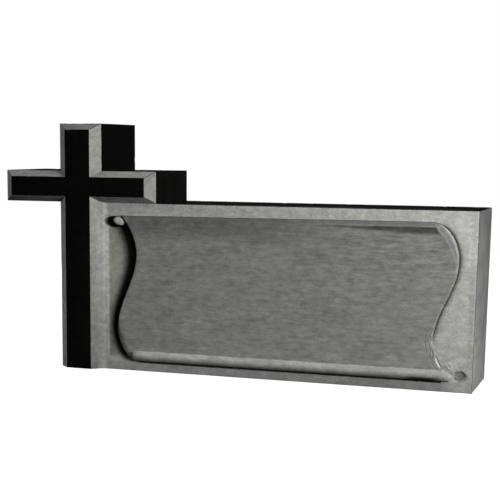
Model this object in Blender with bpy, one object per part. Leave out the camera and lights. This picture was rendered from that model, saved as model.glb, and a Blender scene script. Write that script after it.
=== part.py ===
"""Granite tombstone: one carved block, a bevelled cross at one end and an unrolled scroll on the slab."""
import math

import bmesh
import bpy
from mathutils import Vector

# Overall block
SLAB_HEIGHT = 0.380
BLOCK_DEPTH = 0.205
SLAB_END_FROM_SHAFT = 0.849
END_TAPER = 0.006

# Cross: polished faces, and the dressed bevels that run round them
SHAFT_FACE_WIDTH = 0.060
SHAFT_FACE_ABOVE_ARM = 0.106
ARM_FACE_HEIGHT = 0.043
ARM_REACH_LEFT = 0.137
ARM_REACH_RIGHT = 0.133
BEVEL_DEPTH = 0.020
BEVEL_RUN_UPRIGHT = 0.022
BEVEL_RUN_LEVEL = 0.014

# Cove between the shaft's bevel and the slab
COVE_TANGENT = 0.012
COVE_SEGMENTS = 6
COVE_BURY = 0.0002
COVE_CROWN = 0.010

# Frame left standing round the scroll
TOP_BORDER = 0.028
BOTTOM_BORDER = 0.018
STEP_RUN = 0.001

# Scroll sheet
SHEET_RISE = 0.001
SHEET_LEFT = 0.038
SHEET_RIGHT = 0.0415
BULGE_HEIGHT = 0.078
WAIST_HEIGHT = 0.248
CORNER_RUN = 0.060
SWING_LEFT = 0.046
SWING_RIGHT = 0.051
FLARE_LEFT = 0.037
FLARE_RIGHT = 0.021
FLARE_SPAN_RIGHT = 0.052
WALL_LEAN = 0.0012

# Sloping facet along the sheet's two convex corners
FACET_RUN = 0.016
FACET_DROP = 0.0045
FACET_LEAST_RUN = 0.002
FACET_LEAST_DROP = 0.0008
FACET_HALF_SPAN = 0.062

# Rolled-back top of the sheet
BEAD_HEIGHT = 0.014
BEAD_FALL = 0.004
GROOVE_DEPTH = 0.003
GROOVE_HALF_HEIGHT = 0.008
GROOVE_FADE = 0.45

# Lowered ground between the sheet and the frame
GROUND_LEFT_AT_BULGE = 0.018
GROUND_LEFT_AT_WAIST = 0.027
GROUND_RIGHT_AT_BULGE = 0.006
GROUND_RIGHT_AT_WAIST = 0.011
GROUND_CURVE = 1.6
GROUND_BLEND = 0.016

# Roll along the foot of the sheet
ROLL_DIAMETER = 0.027
ROLL_LIFT = 0.0025
ROLL_AXIS_BEHIND_SLAB = 0.005
ROLL_GROOVE = 0.010
ROLL_LEFT_END = 0.064
ROLL_RIGHT_END = 0.048
ROLL_SIDES = 28

# Rod that shows beside the sheet's top corner, and the hollows at both roll ends
ROD_DIAMETER = 0.023
ROD_END = 0.026
ROD_BURIED_LENGTH = 0.050
ROD_BELOW_TOP = 0.0425
ROD_AXIS_BEHIND_SLAB = 0.0165
END_DOME = 0.006
DOME_RINGS = 4
HOLLOW_HALF_WIDTH = 0.019
HOLLOW_HALF_HEIGHT = 0.0155
HOLLOW_DEPTH = 0.026
HOLLOW_FROM_SHAFT = 0.027
POCKET_HALF_WIDTH = 0.016
POCKET_HALF_HEIGHT = 0.0145
POCKET_DEPTH = 0.009
POCKET_FROM_END = 0.030
DENT_STEEPNESS = 1.5

# Mesh fineness of the carved face
ROWS = 38
GROUND_COLUMNS = 11
SHEET_COLUMNS = 18
ROW_CROWDING = 0.65
WELD = 0.000001

# Levels and stations that follow from the sizes above; x is measured from the shaft face's left edge
SHAFT_OUTER_RIGHT = SHAFT_FACE_WIDTH + BEVEL_RUN_UPRIGHT
SLAB_END = SHAFT_OUTER_RIGHT + SLAB_END_FROM_SHAFT
ARM_FACE_BOTTOM = SLAB_HEIGHT + BEVEL_RUN_LEVEL
ARM_FACE_TOP = ARM_FACE_BOTTOM + ARM_FACE_HEIGHT
SHAFT_FACE_TOP = ARM_FACE_TOP + SHAFT_FACE_ABOVE_ARM
ARM_OUTER_LEFT = -ARM_REACH_LEFT - BEVEL_RUN_UPRIGHT
X_MIDDLE = (ARM_OUTER_LEFT + SLAB_END) / 2.0
SHEET_TOP = SLAB_HEIGHT - TOP_BORDER
SHEET_HEIGHT = SHEET_TOP - BOTTOM_BORDER
FLARE_SPAN_LEFT = SHEET_HEIGHT - WAIST_HEIGHT
SHEET_BULGE_LEFT = SHAFT_OUTER_RIGHT + SHEET_LEFT
SHEET_BULGE_RIGHT = SLAB_END - SHEET_RIGHT
COVE_END = SHAFT_OUTER_RIGHT + COVE_TANGENT
ROLL_AXIS_HEIGHT = BOTTOM_BORDER + ROLL_LIFT + ROLL_DIAMETER / 2.0
ROD_AXIS_HEIGHT = SLAB_HEIGHT - ROD_BELOW_TOP


def clamp01(value):
    return max(0.0, min(1.0, value))


def smooth(value):
    value = clamp01(value)
    return value * value * (3.0 - 2.0 * value)


def mix(start, end, share):
    return start + (end - start) * share


def clear_scene():
    for item in list(bpy.data.objects):
        bpy.data.objects.remove(item, do_unlink=True)


def granite_material():
    material = bpy.data.materials.new("granite")
    material.use_nodes = True
    shader = material.node_tree.nodes["Principled BSDF"]
    shader.inputs["Base Color"].default_value = (0.10, 0.10, 0.095, 1.0)
    shader.inputs["Roughness"].default_value = 0.6
    return material


def make_object(name, vertices, faces):
    mesh = bpy.data.meshes.new(name)
    mesh.from_pydata([Vector(vertex) for vertex in vertices], [], faces)
    mesh.update()
    item = bpy.data.objects.new(name, mesh)
    bpy.context.collection.objects.link(item)
    face_outwards(item)
    return item


def face_outwards(item):
    shape = bmesh.new()
    shape.from_mesh(item.data)
    bmesh.ops.recalc_face_normals(shape, faces=shape.faces)
    shape.to_mesh(item.data)
    shape.free()


def combine(target, tool, operation):
    modifier = target.modifiers.new("combine", "BOOLEAN")
    modifier.operation = operation
    modifier.solver = "EXACT"
    modifier.object = tool
    depsgraph = bpy.context.evaluated_depsgraph_get()
    result = bpy.data.meshes.new_from_object(target.evaluated_get(depsgraph))
    target.modifiers.clear()
    target.data = result
    bpy.data.objects.remove(tool, do_unlink=True)


# Cross

def cross_corners():
    """Corners of the polished face with the direction in which the bevel leaves each of them."""
    shaft = (0.0, SHAFT_FACE_WIDTH)
    arm = (-ARM_REACH_LEFT, SHAFT_FACE_WIDTH + ARM_REACH_RIGHT)
    return [
        (shaft[0], 0.0, -1, 0),
        (shaft[0], ARM_FACE_BOTTOM, -1, -1),
        (arm[0], ARM_FACE_BOTTOM, -1, -1),
        (arm[0], ARM_FACE_TOP, -1, 1),
        (shaft[0], ARM_FACE_TOP, -1, 1),
        (shaft[0], SHAFT_FACE_TOP, -1, 1),
        (shaft[1], SHAFT_FACE_TOP, 1, 1),
        (shaft[1], ARM_FACE_TOP, 1, 1),
        (arm[1], ARM_FACE_TOP, 1, 1),
        (arm[1], ARM_FACE_BOTTOM, 1, -1),
        (shaft[1], ARM_FACE_BOTTOM, 1, -1),
        (shaft[1], 0.0, 1, 0),
    ]


def build_cross():
    corners = cross_corners()
    count = len(corners)
    front = [(x, 0.0, z) for x, z, along, up in corners]
    outline = [(x + along * BEVEL_RUN_UPRIGHT, z + up * BEVEL_RUN_LEVEL) for x, z, along, up in corners]
    shoulder = [(x, BEVEL_DEPTH, z) for x, z in outline]
    back = [(x, BLOCK_DEPTH, z) for x, z in outline]
    vertices = front + shoulder + back
    faces = [list(range(count)), [2 * count + index for index in reversed(range(count))]]
    for ring in range(2):
        for index in range(count):
            following = (index + 1) % count
            low = ring * count
            high = low + count
            faces.append([low + index, high + index, high + following, low + following])
    return make_object("tombstone", vertices, faces)


# Outline of the sheet

def sheet_reach(height, swing, flare, flare_span):
    """How far the sheet's edge lies inside its widest point, at a height above its bulging end."""
    if height < BULGE_HEIGHT:
        share = clamp01((BULGE_HEIGHT - height) / BULGE_HEIGHT)
        return CORNER_RUN * (1.0 - math.sqrt(1.0 - share * share))
    if height < WAIST_HEIGHT:
        turn = math.pi * (height - BULGE_HEIGHT) / (WAIST_HEIGHT - BULGE_HEIGHT)
        return swing * (0.5 - 0.5 * math.cos(turn))
    return swing - flare * ((height - WAIST_HEIGHT) / flare_span) ** 2


def left_edge(z):
    height = min(max(z, BOTTOM_BORDER), SHEET_TOP) - BOTTOM_BORDER
    return SHEET_BULGE_LEFT + sheet_reach(height, SWING_LEFT, FLARE_LEFT, FLARE_SPAN_LEFT)


def right_edge(z):
    height = min(SHEET_TOP - max(z, BOTTOM_BORDER), WAIST_HEIGHT + FLARE_SPAN_RIGHT)
    height = max(height, 0.0)
    return SHEET_BULGE_RIGHT - sheet_reach(height, SWING_RIGHT, FLARE_RIGHT, FLARE_SPAN_RIGHT)


def slab_end(z):
    return SLAB_END - END_TAPER * (1.0 - z / SLAB_HEIGHT)


# Depths of the carved face, measured back from the slab's front plane

def facet_strength(height):
    return 1.0 - smooth(abs(height - BULGE_HEIGHT / 2.0) / FACET_HALF_SPAN)


def facet_size(strength):
    run = mix(FACET_LEAST_RUN, FACET_RUN, strength)
    drop = mix(FACET_LEAST_DROP, FACET_DROP, strength)
    return run, drop


def top_roll_depth(x, z):
    below_top = SHEET_TOP - z
    depth = 0.0
    if below_top < BEAD_HEIGHT:
        share = 1.0 - below_top / BEAD_HEIGHT
        depth += BEAD_FALL * share * share
    groove = 1.0 - smooth(abs(below_top - BEAD_HEIGHT) / GROOVE_HALF_HEIGHT)
    along = clamp01((x - SHEET_BULGE_LEFT) / (SHEET_BULGE_RIGHT - SHEET_BULGE_LEFT))
    return depth + GROOVE_DEPTH * groove * mix(1.0 - GROOVE_FADE * 2.0, 1.0, smooth(along))


def sheet_depth(x, z):
    groove = 1.0 - smooth((z - BOTTOM_BORDER - ROLL_DIAMETER / 2.0) / (ROLL_DIAMETER / 2.0))
    return -SHEET_RISE + top_roll_depth(x, z) + ROLL_GROOVE * groove


def ground_blend(z):
    lower = smooth((z - BOTTOM_BORDER) / GROUND_BLEND)
    upper = smooth((SHEET_TOP - z) / GROUND_BLEND)
    return lower * upper


def dent(x, z, centre_x, centre_z, half_width, half_height, depth):
    reach = math.hypot((x - centre_x) / half_width, (z - centre_z) / half_height)
    return depth * smooth((1.0 - reach) * DENT_STEEPNESS)


def roll_end_dents(x, z):
    """The hollow beside the rod at the top and the pocket beyond the roll's end at the foot."""
    hollow = dent(x, z, SHAFT_OUTER_RIGHT + HOLLOW_FROM_SHAFT, ROD_AXIS_HEIGHT,
                  HOLLOW_HALF_WIDTH, HOLLOW_HALF_HEIGHT, HOLLOW_DEPTH)
    pocket = dent(x, z, SLAB_END - POCKET_FROM_END, ROLL_AXIS_HEIGHT,
                  POCKET_HALF_WIDTH, POCKET_HALF_HEIGHT, POCKET_DEPTH)
    return max(hollow, pocket)


def ground_edge_depth(height, at_bulge, at_waist):
    return mix(at_bulge, at_waist, smooth((height - BULGE_HEIGHT) / (WAIST_HEIGHT - BULGE_HEIGHT)))


# Slab with its carved face

def cove_points():
    """Points of the cove in plan, from just inside the shaft's bevel to the slab's front plane."""
    slope = math.atan2(BEVEL_DEPTH, BEVEL_RUN_UPRIGHT)
    radius = COVE_TANGENT / math.tan(slope / 2.0)
    points = []
    for index in range(COVE_SEGMENTS + 1):
        angle = slope * (1.0 - index / COVE_SEGMENTS)
        x = COVE_END - radius * math.sin(angle)
        depth = -radius * (1.0 - math.cos(angle))
        points.append((x, depth))
    first_x, first_depth = points[0]
    points[0] = (first_x - COVE_BURY, first_depth + COVE_BURY)
    return [(SHAFT_FACE_WIDTH / 2.0, 0.0), (first_x - COVE_TANGENT / 4.0, 0.0)] + points


def row_heights():
    low = BOTTOM_BORDER + STEP_RUN
    high = SHEET_TOP - STEP_RUN
    rows = [0.0, BOTTOM_BORDER / 2.0, BOTTOM_BORDER]
    for index in range(ROWS + 1):
        share = index / ROWS
        crowded = 0.5 - 0.5 * math.cos(math.pi * share)
        rows.append(mix(low, high, mix(share, crowded, ROW_CROWDING)))
    return rows + [SHEET_TOP, SHEET_TOP + TOP_BORDER / 2.0, SLAB_HEIGHT]


def ground_columns(z, inner, outer, edge_depth, is_frame):
    """Points across the lowered ground, from the frame at inner to the sheet's wall at outer."""
    points = []
    for index in range(1, GROUND_COLUMNS + 1):
        share = index / GROUND_COLUMNS
        x = mix(inner, outer, share)
        depth = max(edge_depth * ground_blend(z) * share ** GROUND_CURVE, roll_end_dents(x, z))
        points.append((x, 0.0 if is_frame else depth))
    return points


def row_points(z):
    """One level of the carved face, as x and depth pairs from the shaft to the slab's right end."""
    is_frame = z <= BOTTOM_BORDER or z >= SHEET_TOP
    left = left_edge(z)
    right = right_edge(z)
    left_height = z - BOTTOM_BORDER
    right_height = SHEET_TOP - z
    left_ground = ground_edge_depth(left_height, GROUND_LEFT_AT_BULGE, GROUND_LEFT_AT_WAIST)
    right_ground = ground_edge_depth(right_height, GROUND_RIGHT_AT_BULGE, GROUND_RIGHT_AT_WAIST)
    left_run, left_drop = facet_size(facet_strength(left_height))
    right_run, right_drop = facet_size(facet_strength(right_height))
    sheet = [(left, left_drop)]
    for index in range(SHEET_COLUMNS + 1):
        sheet.append((mix(left + left_run, right - right_run, index / SHEET_COLUMNS), 0.0))
    sheet.append((right, right_drop))
    sheet = [(x, 0.0 if is_frame else drop + sheet_depth(x, z)) for x, drop in sheet]
    left_side = ground_columns(z, COVE_END, left - WALL_LEAN, left_ground, is_frame)
    right_side = ground_columns(z, slab_end(z), right + WALL_LEAN, right_ground, is_frame)
    return cove_points() + left_side + sheet + right_side[::-1] + [(slab_end(z), 0.0)]


def build_slab():
    heights = row_heights()
    rows = [row_points(z) for z in heights]
    columns = len(rows[0])
    vertices = []
    for z, row in zip(heights, rows):
        for x, depth in row:
            raised = COVE_CROWN if z == SLAB_HEIGHT and x < COVE_END else 0.0
            vertices.append((x, BEVEL_DEPTH + depth, z + raised))
    faces = []
    for level in range(len(rows) - 1):
        for column in range(columns - 1):
            corner = level * columns + column
            faces.append([corner, corner + 1, corner + 1 + columns, corner + columns])
    rim = list(range(columns))
    rim += [level * columns + columns - 1 for level in range(1, len(rows))]
    rim += [(len(rows) - 1) * columns + column for column in reversed(range(columns - 1))]
    rim += [level * columns for level in reversed(range(1, len(rows) - 1))]
    first_back = len(vertices)
    vertices += [(vertices[index][0], BLOCK_DEPTH, vertices[index][2]) for index in rim]
    for index in range(len(rim)):
        following = (index + 1) % len(rim)
        faces.append([rim[following], rim[index], first_back + index, first_back + following])
    faces.append([first_back + index for index in range(len(rim))])
    return make_object("slab", vertices, faces)


# Rolls and hollows

def build_roll(name, start, end, radius, depth, height, sides):
    """Round bar along x with a shallow dome at each end."""
    stations = []
    for ring in range(DOME_RINGS):
        angle = math.pi / 2.0 * (ring + 0.5) / DOME_RINGS
        stations.append((start + END_DOME * (1.0 - math.sin(angle)), radius * math.sin(angle) ** 0.5))
    stations.append((start + END_DOME, radius))
    tail = [(start + end - x, size) for x, size in reversed(stations)]
    stations += tail
    vertices = []
    for x, size in stations:
        for side in range(sides):
            angle = 2.0 * math.pi * (side + 0.5) / sides
            vertices.append((x, BEVEL_DEPTH + depth + size * math.cos(angle), height + size * math.sin(angle)))
    faces = []
    for ring in range(len(stations) - 1):
        for side in range(sides):
            following = (side + 1) % sides
            low = ring * sides
            high = low + sides
            faces.append([low + side, low + following, high + following, high + side])
    faces.append([side for side in range(sides)])
    faces.append([(len(stations) - 1) * sides + side for side in range(sides)])
    return make_object(name, vertices, faces)


def place_in_frame(item):
    """Put the origin under the middle of the block and weld what the joins left loose."""
    shape = bmesh.new()
    shape.from_mesh(item.data)
    bmesh.ops.remove_doubles(shape, verts=shape.verts, dist=WELD)
    bmesh.ops.dissolve_degenerate(shape, edges=shape.edges, dist=WELD)
    bmesh.ops.translate(shape, verts=shape.verts, vec=(-X_MIDDLE, -BLOCK_DEPTH / 2.0, 0.0))
    bmesh.ops.triangulate(shape, faces=[face for face in shape.faces if len(face.verts) > 4])
    bmesh.ops.recalc_face_normals(shape, faces=shape.faces)
    shape.to_mesh(item.data)
    shape.free()


def build():
    clear_scene()
    stone = build_cross()
    combine(stone, build_slab(), "UNION")
    combine(stone, build_roll("roll", SHAFT_OUTER_RIGHT + ROLL_LEFT_END, SLAB_END - ROLL_RIGHT_END,
                              ROLL_DIAMETER / 2.0, ROLL_AXIS_BEHIND_SLAB, ROLL_AXIS_HEIGHT, ROLL_SIDES), "UNION")
    rod_start = SHAFT_OUTER_RIGHT + ROD_END
    combine(stone, build_roll("rod", rod_start, rod_start + ROD_BURIED_LENGTH,
                              ROD_DIAMETER / 2.0, ROD_AXIS_BEHIND_SLAB, ROD_AXIS_HEIGHT, ROLL_SIDES), "UNION")
    place_in_frame(stone)
    stone.data.materials.clear()
    stone.data.materials.append(granite_material())


build()
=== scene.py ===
"""Looks of the granite tombstone: the carved block, its three finishes, floor, light and camera."""
import math

import bmesh
import bpy
from mathutils import Matrix, Vector, noise


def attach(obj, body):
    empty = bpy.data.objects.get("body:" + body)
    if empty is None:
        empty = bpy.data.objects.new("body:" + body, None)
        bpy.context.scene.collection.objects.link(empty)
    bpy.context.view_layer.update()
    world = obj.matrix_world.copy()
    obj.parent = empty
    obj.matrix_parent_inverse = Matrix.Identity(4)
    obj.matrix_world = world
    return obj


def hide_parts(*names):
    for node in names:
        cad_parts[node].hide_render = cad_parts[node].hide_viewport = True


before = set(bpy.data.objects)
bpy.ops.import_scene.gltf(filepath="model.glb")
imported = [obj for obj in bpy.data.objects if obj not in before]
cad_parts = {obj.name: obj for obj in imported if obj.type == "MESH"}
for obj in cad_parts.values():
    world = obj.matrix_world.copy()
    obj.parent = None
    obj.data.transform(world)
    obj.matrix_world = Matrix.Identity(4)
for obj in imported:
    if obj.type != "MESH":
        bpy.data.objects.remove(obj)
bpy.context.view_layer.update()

# Sizes of the solid, in metres; x is measured from the left edge of the shaft's polished face
SLAB_HEIGHT = 0.380
BLOCK_DEPTH = 0.205
SLAB_END = 0.931
END_TAPER = 0.006
SHAFT_FACE_WIDTH = 0.060
ARM_FACE_LEFT = -0.137
ARM_FACE_RIGHT = 0.193
ARM_FACE_BOTTOM = 0.394
ARM_FACE_TOP = 0.437
SHAFT_FACE_TOP = 0.543
BEVEL_DEPTH = 0.020
BEVEL_RUN_UPRIGHT = 0.022
BEVEL_RUN_LEVEL = 0.014
COVE_TANGENT = 0.012
COVE_STEPS = 14
COVE_START = SHAFT_FACE_WIDTH + BEVEL_RUN_UPRIGHT - COVE_TANGENT
COVE_END = SHAFT_FACE_WIDTH + BEVEL_RUN_UPRIGHT + COVE_TANGENT
ARM_END_RIGHT = ARM_FACE_RIGHT + BEVEL_RUN_UPRIGHT
X_MIDDLE = 0.386

# Scroll
BOTTOM_BORDER = 0.018
SHEET_TOP = 0.352
SHEET_RISE = 0.001
SHEET_BULGE_LEFT = 0.120
SHEET_BULGE_RIGHT = 0.8895
BULGE_HEIGHT = 0.078
WAIST_HEIGHT = 0.248
CORNER_RUN = 0.060
SWING_LEFT = 0.046
SWING_RIGHT = 0.051
FLARE_LEFT = 0.037
FLARE_SPAN_LEFT = 0.086
FLARE_RIGHT = 0.021
FLARE_SPAN_RIGHT = 0.052
FLARE_CURVE_LEFT = 2.0
FLARE_CURVE_RIGHT = 1.3
WALL_LEAN = 0.0012
WALL_LEAN_SHARES = (0.6, 0.3, 0.1)
TOP_LIFT = 0.0038
TOP_LIFT_START = 0.130
TOP_LIFT_END = 0.800
ARRIS_ROUND = 0.0007
ARRIS_TOP_SHARE = 0.2

# Sloping facets along the sheet's edge
FACET_RUN = 0.016
FACET_DROP = 0.0048
FACET_LEAST_RUN = 0.002
FACET_LEAST_DROP = 0.0008
FACET_HALF_SPAN = 0.062
LENS_RUN = 0.020
LENS_BELOW_TOP = 0.012
LENS_SPAN = 0.100
LENS_TIP = 0.022
LENS_TIP_STRENGTH = 0.5
LENS_TOP_BLEND = (-0.0005, 0.0025)
CURL_HEIGHT = 0.061
CURL_HALF_SPAN = 0.027
CURL_RUN = 0.008
CURL_DROP = 0.0045

# Rolled-back top
BEAD_HEIGHT = 0.0075
BEAD_FALL = 0.0022
GROOVE_BELOW_TOP = 0.0100
GROOVE_EDGE = 0.0045
GROOVE_DEPTH = 0.0030
GROOVE_THIN = 0.004
GROOVE_WIDE = 0.011
GROOVE_FLOOR = 0.0055
GROOVE_START = 0.52
GROOVE_FULL = 0.78
GROOVE_WIDENS = (0.60, 0.92)
GROOVE_FLATTENS = (0.66, 0.92)
GROOVE_LENS_BLEND = 0.012

# Lowered ground
LEFT_GROUND_AT_BULGE = 0.021
LEFT_GROUND_AT_WAIST = 0.028
LEFT_GROUND_CURVE = 1.1
RIGHT_GROUND_AT_BULGE = 0.0025
RIGHT_GROUND_AT_WAIST = 0.0040
RIGHT_GROUND_CURVE = 1.4
RIGHT_GROOVE_DEPTH = 0.0052
RIGHT_GROOVE_WIDTH = 0.0042
RIGHT_GROUND_FOOT = 0.0008
RIGHT_GROUND_SINKS = (0.085, 0.140)
GROUND_BLEND = 0.016

# Roll at the foot
ROLL_RADIUS = 0.0135
ROLL_HEIGHT = 0.034
ROLL_DEPTH = 0.005
ROLL_START = 0.150
ROLL_START_ROUND = 0.012
ROLL_TIP = 0.885
ROLL_TOP_TAPER = 0.024
ROLL_FOOT_TAPER = 0.010
ROLL_TIP_CURVE = 0.55
ROLL_LEAST_HALF = 0.0005
ROLL_SLOT = 0.012
ROLL_SLOT_HEIGHT = 1.2 * ROLL_RADIUS

# Roll end at the top left with its hollow, and the rough pocket at the bottom right
PAD_X = 0.1212
PAD_Z = 0.3392
PAD_HALF_WIDTH = 0.0150
PAD_HALF_HEIGHT = 0.0098
PAD_TILT = math.radians(-12.0)
PAD_THICKNESS = 0.0075
PAD_BEHIND = 0.0010
PAD_GAP = 0.0035
HOLLOW_X = 0.1110
HOLLOW_HALF_WIDTH = 0.0270
HOLLOW_HALF_HEIGHT = 0.0132
HOLLOW_BELOW_PAD = 0.0022
HOLLOW_STEEPNESS = 3.4
HOLLOW_DEPTH = 0.026
POCKET_X = 0.8985
POCKET_Z = 0.0350
POCKET_HALF_WIDTH = 0.0175
POCKET_HALF_HEIGHT = 0.0145
POCKET_DEPTH = 0.0034
POCKET_ROUGHNESS = 0.0018
POCKET_EDGE_WANDER = 0.15
POCKET_STEEPNESS = 1.6
RIM_X = 0.876
RIM_Z = 0.0515
RIM_HALF_WIDTH = 0.014
RIM_HALF_HEIGHT = 0.011
RIM_RISE = 0.0014
RIM_STEEPNESS = 1.3

# Two thin ridges left round the roll's tip: centre, radius
TIP_RIDGES = ((0.8730, 0.0370, 0.0135), (0.8765, 0.0430, 0.0190))
RIDGE_WIDTH = 0.0022
RIDGE_RISE = 0.0010
RIDGE_WANDER = 0.0016
RIDGE_START = 0.004
RIDGE_FOOT = 0.010

# Engraved wavy lines beside the sheet's right waist
RIPPLE_DEPTH = 0.0008
RIPPLE_PITCH = 0.0060
RIPPLE_SPAN = 0.018
RIPPLE_LOW = 0.046
RIPPLE_HIGH = 0.128
RIPPLE_ENDS_BLEND = 0.020
RIPPLE_START = 0.001
RIPPLE_SIDES_BLEND = 0.006
RIPPLE_SWAY = 0.0016
RIPPLE_SWAY_RATE = 150.0
RIPPLE_WANDER = 0.0046
SHEET_WAVE = 0.00012

# Noise: a layer for each use, its scale or (scale, middle, swing), and how much z counts beside x
(WANDER_LAYER, WAVE_LAYER, POCKET_EDGE_LAYER, PAD_LAYER, RIDGE_LAYER,
 POCKET_FLOOR_LAYER, RIPPLE_LAYER, RIDGE_UNEVEN_LAYER, RIM_LAYER) = range(9)
WANDER_SCALE = 60.0
WANDER_Z = 0.7
WAVE_SCALE = 30.0
WAVE_Z = 3.0
POCKET_EDGE_SCALE = 160.0
POCKET_FLOOR_SCALE = 420.0
PAD_SPECKLE_SCALE = 330.0
RIDGE_SCALE = 110.0
RIDGE_UNEVEN = (200.0, 0.8, 1.2)
RIPPLE_UNEVEN = (90.0, 0.55, 1.5)
RIPPLE_Z = 0.5
RIM_UNEVEN = (170.0, 0.5, 1.4)

# Eased arrises and the small losses along them
ARRIS_WIDTH = 0.0007
ARRIS_STEP = 0.008
ARRIS_LEAST_ANGLE = math.radians(12.0)
SMOOTH_ANGLE = math.radians(32.0)
CHIP_DEPTH = 0.00066
CHIP_SCALE = 55.0
CHIP_LEVELS = (0.30, 0.65)

# Rows and columns of the carved face's grid; a band is its upper end and its number of rows
STEP_GAP = 0.0006
FOOT_ROWS = (0.0, 0.004, 0.009, 0.014)
HEAD_ROWS = (0.358, 0.364, 0.370, 0.3755)
ROW_BANDS = ((0.052, 40), (0.120, 44), (0.312, 76), (SHEET_TOP - STEP_GAP, 40))
LEAST_BAND_ROWS = 4
GROUND_COLUMNS = 44
SHEET_COLUMNS = 96
RIPPLE_COLUMNS = 30
RIPPLE_MARGIN = 0.004
FACET_COLUMNS_LEFT = 6
FACET_COLUMNS_RIGHT = 14
CROWDING_LEFT = 0.5
CROWDING_RIGHT = 0.9
FACET_CURVE_LEFT = 1.4
FACET_CURVE_RIGHT = 1.2
END_BAND_ROWS = 24

# Colours of the three finishes
BASE_GREY = (0.298, 0.301, 0.296)
OLIVE_GREY = (0.292, 0.300, 0.262)
POLISHED_DARK = (0.0015, 0.0015, 0.0015)
POLISHED_LIGHT = (0.0072, 0.0072, 0.0068)
SAWN_COLD = (0.122, 0.123, 0.124)
SAWN_WARM = (0.128, 0.128, 0.122)
DULL_SPECULAR = 0.25
POLISHED_SPECULAR = 0.22

# Tones multiply a colour, and many of them paint light and shade into it. A pair of places or
# shares is where a change starts and ends, and a third value is the width of a window's soft ends.
# Painted shade that darkens the stone towards its foot
FOOT_SHADE_TONE = 0.70
FOOT_SHADE_SPAN = (0.0, 0.30)
# Painted shade towards the left end, and a painted shadow on the border under the roll
BORDER_LEFT_SHADE = 0.945
BORDER_FOOT = (0.010, 0.040)
BORDER_FOOT_TONE = 0.91
BORDER_ROLL_SHADOW = (0.850, 0.900)
BORDER_ROLL_SHADOW_TONES = (0.84, 0.41)
BORDER_ROLL_SHADOW_CURVE = 0.6
BORDER_OLIVES = (0.40, 0.20)
BORDER_STREAK = 0.25
LIT_LIP_X = (0.120, 0.230, 0.060)
LIT_LIP_Z = (SHEET_TOP, SHEET_TOP + 0.0025, 0.002)
LIT_LIP_TONE = 1.30
SHAFT_BEVEL_CURVE = 1.5
COVE_BLEND_START = 0.10
# Painted highlight stripe along the outer edge of the cove
HIGHLIGHT_STRIPE_X = (0.0850, 0.0965, 0.007)
HIGHLIGHT_STRIPE_FADE = (0.0, 0.34)
HIGHLIGHT_STRIPE_TONES = (0.74, 1.36)
LEFT_GROUND_X = (0.092, 0.102)
LEFT_GROUND_Z = (BOTTOM_BORDER + 0.010, SHEET_TOP - 0.004, 0.014)
LEFT_GROUND_FADE = (0.08, 0.24)
LEFT_GROUND_TONES = (0.33, 0.56)
SHADOW_REACHES = (0.037, 0.056)
SHADOW_TOP = (0.25, 0.32)
SHADOW_TOP_REACH = 0.014
SHADOW_ACROSS = (0.24, 0.90)
SHADOW_TONE = 0.035
# Painted shade in the hollow beside the roll end
HOLLOW_SHADE_X_FADE = (0.094, 0.106)
HOLLOW_SHADE_TONES = (0.14, 0.04)
HOLLOW_SHADE_AT = 0.25 * HOLLOW_DEPTH
ROLL_TONES = (1.04, 0.73)
ROLL_TONE_CURVE = 1.3
ROLL_START_TONE = 0.60
ROLL_START_FADE = (ROLL_START, ROLL_START + 0.040)
ROLL_TIP_FADE = (0.850, 0.860)
# Painted shade on the roll's underside and a painted shadow line beneath it
ROLL_SHADED_UNDERSIDE = (ROLL_HEIGHT + 0.006, ROLL_HEIGHT + 0.006 - 1.15 * ROLL_RADIUS)
ROLL_UNDERSIDE_SHADE_TONES = (0.50, 0.72)
ROLL_SHADE_X = (0.790, 0.848, 0.026)
ROLL_SHADE_LOW = (0.14, 0.54)
ROLL_SHADOW_LINE_LOW = (0.72, 0.90)
ROLL_SHADOW_LINE_AT_TIP = 0.3
ROLL_SHADOW_TONE = 0.12
ROLL_OLIVE = 0.2
ROLL_STREAK = 0.5
ROLL_STANDS_ABOVE_GROUND = 0.004
# Painted shade where the right ground dips towards the sheet's lower waist
SHADE_PATCH_X = (0.846, 0.888, 0.024)
SHADE_PATCH_Z = (0.055, 0.130, 0.050)
SHADE_PATCH_TONE = 0.97
END_STRIP = (-0.016, -0.010)
END_STRIP_TONE = 0.86
RIGHT_LOWER = (0.100, 0.240)
RIGHT_LOWER_TONE = 1.12
RIGHT_UPPER = (0.220, 0.300)
RIGHT_UPPER_TONES = (1.03, 1.20)
# Painted shade in the groove at the foot of the sheet's right wall
RIGHT_GROOVE_SHADE_FADE = (0.085, 0.135)
RIGHT_GROOVE_SHADE_TONE = 0.46
# Painted shade in the rough pocket, deepening with its depth
POCKET_SHADE_TONE = 0.34
POCKET_SHADE_SHARE = 0.85
POCKET_SHADE_AT = 0.6 * POCKET_DEPTH
RIDGE_TONE = 1.30
SHEET_TONES = (0.594, 0.513)
SHEET_TONES_END = 0.8
SHEET_FOOT = (0.0, 0.16)
SHEET_FOOT_TONE = 1.05
SHEET_SHADE_Z = (0.285, 0.330)
SHEET_SHADE_ALONG = (0.35, 0.80)
SHEET_SHADE_TONE = 0.66
SHEET_UPPER = (0.20, 0.28)
SHEET_UPPER_TONE = 0.96
# Painted shade in the hollow under the rolled-back top
GROOVE_SHADE_TONE = 0.34
BEAD_Z = (SHEET_TOP - BEAD_HEIGHT - 0.002, SHEET_TOP - BEAD_HEIGHT + 0.002)
BEAD_TONES = (1.00, 0.75)
BEAD_OLIVE = 0.2
BEAD_STREAK = 0.5
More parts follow.
